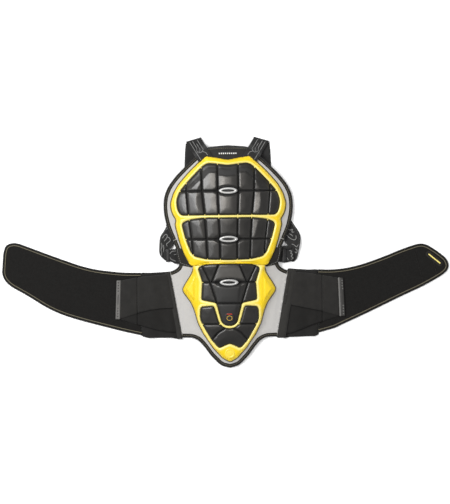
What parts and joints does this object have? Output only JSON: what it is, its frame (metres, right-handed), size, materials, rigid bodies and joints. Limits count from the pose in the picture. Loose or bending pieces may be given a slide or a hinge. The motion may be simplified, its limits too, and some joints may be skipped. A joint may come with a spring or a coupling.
{
  "type": "back protector",
  "caption": "Articulated motorcycle back protector with hard tiled plates on an arched carrier, shoulder straps and a wrap-round kidney belt.",
  "frame": {"origin": "on the surface that the protector lies on, under the middle of its outline", "axes": "+X across the wearer's back towards the belt half with the pull tab, +Y up the spine, +Z out of the armoured side, away from the wearer"},
  "size_m": [1.0406, 0.5346, 0.0559],
  "materials": {
    "plate": "satin moulded, light grain",
    "frame": "gloss moulded",
    "chrome": "satin plated",
    "dark": "matt moulded",
    "foam": "closed-cell foam",
    "liner": "padded mesh",
    "mesh_fabric": "fine spacer mesh",
    "tape": "ribbed bias tape",
    "yoke": "woven",
    "webbing": "elastic webbing with a woven line pattern",
    "elastic": "ribbed elastic",
    "band": "ribbed elastic",
    "hook_loop": "brushed loop pile",
    "grip": "dotted",
    "label": "moulded patch"
  },
  "bodies": {
    "back_middle": {"carrier_middle": "mesh_fabric", "impact_core_middle": "foam", "frame_middle": "frame", "plate_middle": "plate", "vent_ring_middle": "chrome", "vent_insert_middle": "dark", "liner_pad_middle": "liner", "binding_middle_left": "tape", "binding_middle_right": "tape", "waist_anchor_left": "yoke", "waist_anchor_right": "yoke", "strap_loop_left": "webbing", "strap_loop_right": "webbing", "waist_strap_left": "webbing", "waist_strap_right": "webbing"},
    "back_upper": {"carrier_upper": "mesh_fabric", "yoke_panel": "yoke", "impact_core_upper": "foam", "frame_upper": "frame", "plate_upper": "plate", "vent_ring_upper": "chrome", "vent_insert_upper": "dark", "liner_pad_upper": "liner", "binding_upper": "tape", "strap_front_left": "webbing", "strap_front_right": "webbing"},
    "back_lower": {"carrier_lower": "mesh_fabric", "impact_core_lower": "foam", "frame_lower": "frame", "plate_lumbar": "plate", "plate_tail": "plate", "vent_ring_lower": "chrome", "vent_insert_lower": "dark", "liner_pad_lower": "liner", "binding_tail": "tape", "tail_disc": "frame", "tongue_label": "label"},
    "strap_left": {"strap_run_left": "webbing"},
    "slider_left": {"slider_left": "dark"},
    "belt_left": {"belt_elastic_left": "elastic", "belt_band_lower_left": "band", "belt_band_upper_left": "band"},
    "wing_left": {"wing_panel_left": "hook_loop", "wing_binding_left": "tape"},
    "adjuster_left": {"band_end_left": "band", "grip_strip_left": "grip"},
    "strap_right": {"strap_run_right": "webbing"},
    "slider_right": {"slider_right": "dark"},
    "belt_right": {"belt_elastic_right": "elastic", "belt_band_lower_right": "band", "belt_band_upper_right": "band"},
    "wing_right": {"wing_panel_right": "hook_loop", "wing_binding_right": "tape", "tab_patch": "tape", "pull_tab": "frame"},
    "adjuster_right": {"band_end_right": "band", "grip_strip_right": "grip"}
  },
  "joints": [
    {"name": "thoracic_flex", "type": "hinge", "parent": "back_middle", "child": "back_upper", "pos_m": [0.00875, 0.08445, 0], "axis": [-1, 0, 0], "range_deg": [0, 10]},
    {"name": "lumbar_flex", "type": "hinge", "parent": "back_middle", "child": "back_lower", "pos_m": [0.00875, -0.02515, 0], "axis": [1, 0, 0], "range_deg": [0, 15]},
    {"name": "strap_left_swing", "type": "hinge", "parent": "back_upper", "child": "strap_left", "pos_m": [-0.07125, 0.25485, 0.0011], "axis": [1, 0, 0], "range_deg": [0, 90]},
    {"name": "strap_right_swing", "type": "hinge", "parent": "back_upper", "child": "strap_right", "pos_m": [0.08875, 0.25485, 0.0011], "axis": [1, 0, 0], "range_deg": [0, 90]},
    {"name": "slider_left_slide", "type": "slide", "parent": "back_middle", "child": "slider_left", "axis": [-1, 0, 0], "range_m": [-0.012, 0.004]},
    {"name": "slider_right_slide", "type": "slide", "parent": "back_middle", "child": "slider_right", "axis": [1, 0, 0], "range_m": [-0.004, 0.012]},
    {"name": "belt_left_wrap", "type": "hinge", "parent": "back_lower", "child": "belt_left", "pos_m": [-0.11635, -0.12155, 0.0015], "axis": [-0.1763, 0.9843, 0], "range_deg": [-55, 30]},
    {"name": "belt_right_wrap", "type": "hinge", "parent": "back_lower", "child": "belt_right", "pos_m": [0.13385, -0.12155, 0.0015], "axis": [-0.1763, -0.9843, 0], "range_deg": [-55, 30]},
    {"name": "wing_left_wrap", "type": "hinge", "parent": "belt_left", "child": "wing_left", "pos_m": [-0.19675, -0.11515, 0.0015], "axis": [0, 1, 0], "range_deg": [-55, 30]},
    {"name": "wing_right_wrap", "type": "hinge", "parent": "belt_right", "child": "wing_right", "pos_m": [0.21695, -0.11515, 0.0015], "axis": [0, -1, 0], "range_deg": [-55, 30]},
    {"name": "adjuster_left_peel", "type": "hinge", "parent": "wing_left", "child": "adjuster_left", "pos_m": [-0.20485, -0.11015, 0.0038], "axis": [0, 1, 0], "range_deg": [0, 60]},
    {"name": "adjuster_right_peel", "type": "hinge", "parent": "wing_right", "child": "adjuster_right", "pos_m": [0.22505, -0.11015, 0.0038], "axis": [0, -1, 0], "range_deg": [0, 60]}
  ],
  "couplings": [
    {"joint": "wing_left_wrap", "follows": "belt_left_wrap", "ratio": 1},
    {"joint": "wing_right_wrap", "follows": "belt_right_wrap", "ratio": 1}
  ]
}
